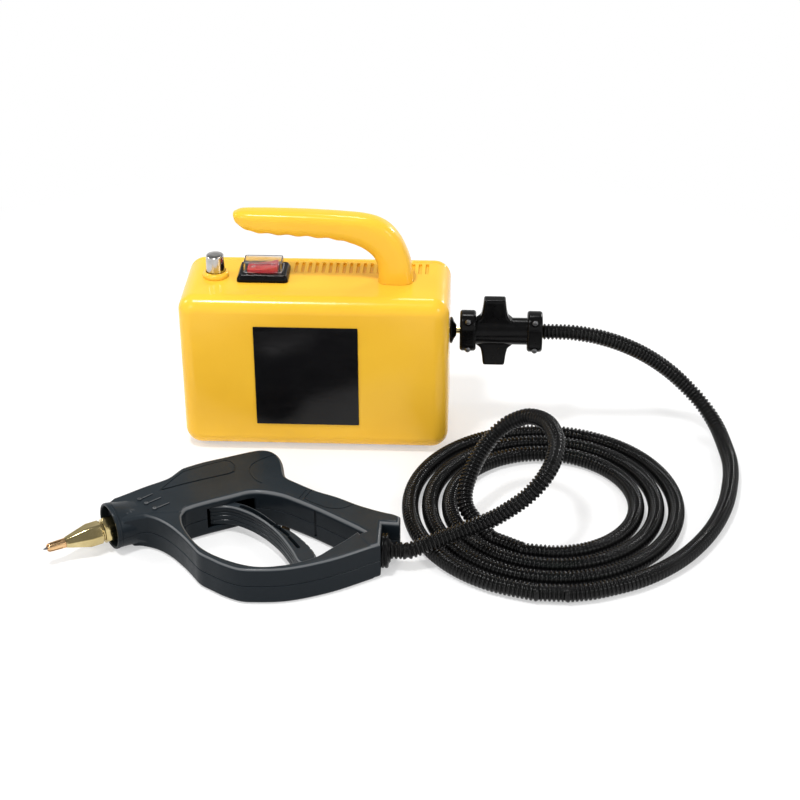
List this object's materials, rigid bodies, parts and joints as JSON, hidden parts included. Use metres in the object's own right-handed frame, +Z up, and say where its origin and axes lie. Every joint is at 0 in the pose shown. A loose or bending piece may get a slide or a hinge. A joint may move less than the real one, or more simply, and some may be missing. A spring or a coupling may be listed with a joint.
{
  "type": "portable steam cleaner",
  "caption": "Portable steam cleaner: boxed boiler with carrying handle, filler cap and rocker switch, a ribbed steam hose in a coil, and a trigger gun with a brass nozzle.",
  "frame": {"origin": "on the floor, under the middle of the footprint of the box, the hose coupling and the gun, hose not counted", "axes": "+Z up; -Y is the way the box's front plate looks; +X to the right as seen from the front, the way the steam outlet points"},
  "size_m": [0.5909, 0.345, 0.2192],
  "materials": {
    "yellow_plastic": "gloss, moulded",
    "black_plastic": "gloss, moulded",
    "dark_plastic": "fine satin texture",
    "grey_plastic": "matte",
    "clear_silicone": "clear, soft gloss",
    "red_plastic": "gloss, translucent",
    "black_rubber": "matte",
    "hose_black": "glossy ribbed",
    "red_silicone": "matte",
    "chrome": "polished",
    "steel": "satin",
    "aluminium": "cast, satin",
    "brass": "turned",
    "copper": "copper coloured, turned"
  },
  "bodies": {
    "box_and_gun": {"boiler_gasket": "red_silicone", "boiler_saddle_left": "steel", "boiler_saddle_right": "steel", "boiler_tank": "aluminium", "cover_screw_1": "steel", "cover_screw_2": "steel", "cover_screw_3": "steel", "cover_screw_4": "steel", "filler_collar": "yellow_plastic", "filler_neck": "brass", "foot_front_left": "black_rubber", "foot_front_right": "black_rubber", "foot_rear_left": "black_rubber", "foot_rear_right": "black_rubber", "gun_screw_1": "steel", "gun_screw_2": "steel", "gun_screw_3": "steel", "gun_shell_lower": "dark_plastic", "gun_shell_upper": "dark_plastic", "handle": "yellow_plastic", "handle_screw_left": "steel", "handle_screw_right": "steel", "heater_flange": "steel", "heating_element": "copper", "hose_coil": "hose_black", "hose_drop": "hose_black", "hose_gland": "black_plastic", "hose_lead": "hose_black", "hose_tail": "brass", "housing_shell": "yellow_plastic", "inlet_gland": "black_plastic", "inlet_pipe": "steel", "label_plate": "black_plastic", "nozzle_body": "brass", "nozzle_nut": "brass", "nozzle_tip": "copper", "outlet_cone": "black_plastic", "outlet_fitting": "brass", "rear_cover": "yellow_plastic", "steam_pipe": "copper", "switch_body": "grey_plastic", "switch_boot": "clear_silicone", "switch_frame": "black_plastic", "thermostat": "black_plastic", "trigger_pin": "steel", "valve_body": "brass"},
    "cap_carrier": {"filler_seal": "red_silicone"},
    "cap": {"filler_cap": "chrome"},
    "rocker": {"rocker": "red_plastic"},
    "coupling": {"coupling_front_half": "black_plastic", "coupling_rear_half": "black_plastic", "union_nut": "brass", "clamp_screw_1": "steel", "clamp_screw_2": "steel", "clamp_screw_3": "steel", "clamp_screw_4": "steel"},
    "trigger": {"trigger": "dark_plastic", "trigger_spring": "steel"},
    "latch": {"safety_latch": "black_plastic"},
    "plunger": {"valve_plunger": "steel"}
  },
  "joints": [
    {"name": "cap_rise", "type": "slide", "parent": "box_and_gun", "child": "cap_carrier", "axis": [0, 0, 1], "range_m": [0, 0.006]},
    {"name": "cap_turn", "type": "hinge", "parent": "cap_carrier", "child": "cap", "pos_m": [-0.09659, 0.11348, 0.158], "axis": [0, 0, 1], "range_deg": [0, 1440]},
    {"name": "rocker_tilt", "type": "hinge", "parent": "box_and_gun", "child": "rocker", "pos_m": [-0.05354, 0.11598, 0.158], "axis": [0, 1, 0], "range_deg": [0, 16]},
    {"name": "coupling_turn", "type": "hinge", "parent": "box_and_gun", "child": "coupling", "pos_m": [0.12331, 0.11148, 0.103], "axis": [1, 0, 0], "range_deg": [0, 1080]},
    {"name": "trigger_pull", "type": "hinge", "parent": "box_and_gun", "child": "trigger", "pos_m": [-0.08446, -0.05729, 0.017], "axis": [0, 0, 1], "range_deg": [0, 12], "stiffness_Nm_per_rad": 0.8, "springref_deg": -5.73},
    {"name": "valve_push", "type": "slide", "parent": "box_and_gun", "child": "plunger", "axis": [-0.8358, -0.549, 0], "range_m": [0, 0.00293]},
    {"name": "latch_flip", "type": "hinge", "parent": "trigger", "child": "latch", "pos_m": [-0.02466, -0.09516, 0.017], "axis": [0, 0, 1], "range_deg": [0, 62]}
  ],
  "couplings": [
    {"joint": "cap_turn", "follows": "cap_rise", "rad_per_m": 4188.8},
    {"joint": "valve_push", "follows": "trigger_pull", "m_per_rad": 0.014}
  ]
}
